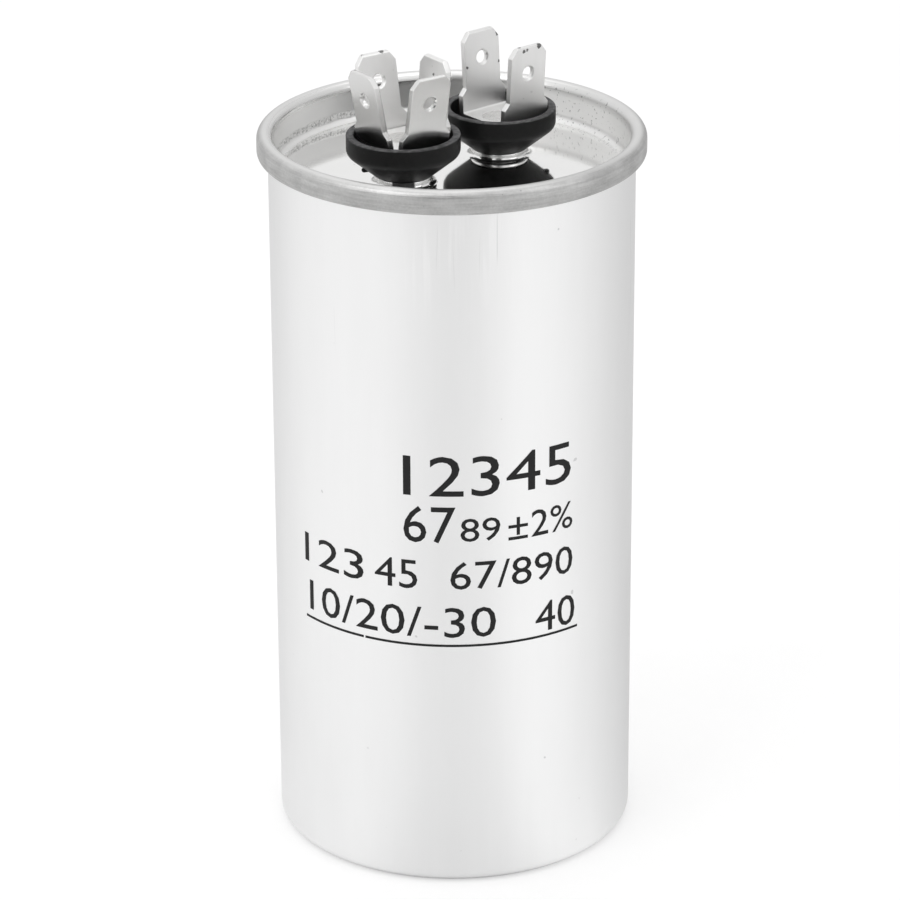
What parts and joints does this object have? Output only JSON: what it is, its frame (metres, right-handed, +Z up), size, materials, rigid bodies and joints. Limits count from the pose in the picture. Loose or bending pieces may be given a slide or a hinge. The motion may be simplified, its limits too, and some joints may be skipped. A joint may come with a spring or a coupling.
{
  "type": "motor run capacitor",
  "caption": "Round aluminium capacitor can with a rolled rim, a recessed bright lid and insulated push-on tab terminals, with the film winding, spacers and leads inside",
  "frame": {"origin": "centre of the can's base, where it stands", "axes": "+Z up along the can; the terminals lie on the X axis, the four-tab one at -X and the two-tab one at +X; -Y is the side nearer the viewer, and +Y the far side"},
  "size_m": [0.053, 0.053, 0.113],
  "materials": {
    "can_aluminium": "satin, drawn, with fine vertical streaks",
    "lid_tinplate": "bright tinplate",
    "cup_plastic": "moulded black phenolic",
    "tab_tin": "tinned sheet, lightly worn",
    "rivet_metal": "tinned",
    "seal_rubber": "matte",
    "insulator_board": "laminated board",
    "lead_wire": "copper wire",
    "sleeve_plastic": "insulating sleeve",
    "spacer_plastic": "moulded",
    "contact_zinc": "sprayed zinc",
    "winding_film": "metallised film edge",
    "core_plastic": "moulded tube",
    "wrap_film": "insulating film wrap"
  },
  "bodies": {
    "root": {"can": "can_aluminium", "lid": "lid_tinplate", "seam_compound": "seal_rubber", "left_cup": "cup_plastic", "left_lower_tabs": "tab_tin", "left_upper_tabs": "tab_tin", "left_rivet": "rivet_metal", "left_seal": "seal_rubber", "left_insulator": "insulator_board", "left_solder_lug": "tab_tin", "left_lead": "lead_wire", "right_cup": "cup_plastic", "right_tabs": "tab_tin", "right_rivet": "rivet_metal", "right_seal": "seal_rubber", "right_insulator": "insulator_board", "right_solder_lug": "tab_tin", "right_lead": "lead_wire", "lead_sleeve": "sleeve_plastic", "top_spacer": "spacer_plastic", "top_contact": "contact_zinc", "film_winding": "winding_film", "core_tube": "core_plastic", "winding_wrap": "wrap_film", "bottom_contact": "contact_zinc", "bottom_spacer": "spacer_plastic"}
  },
  "joints": []
}
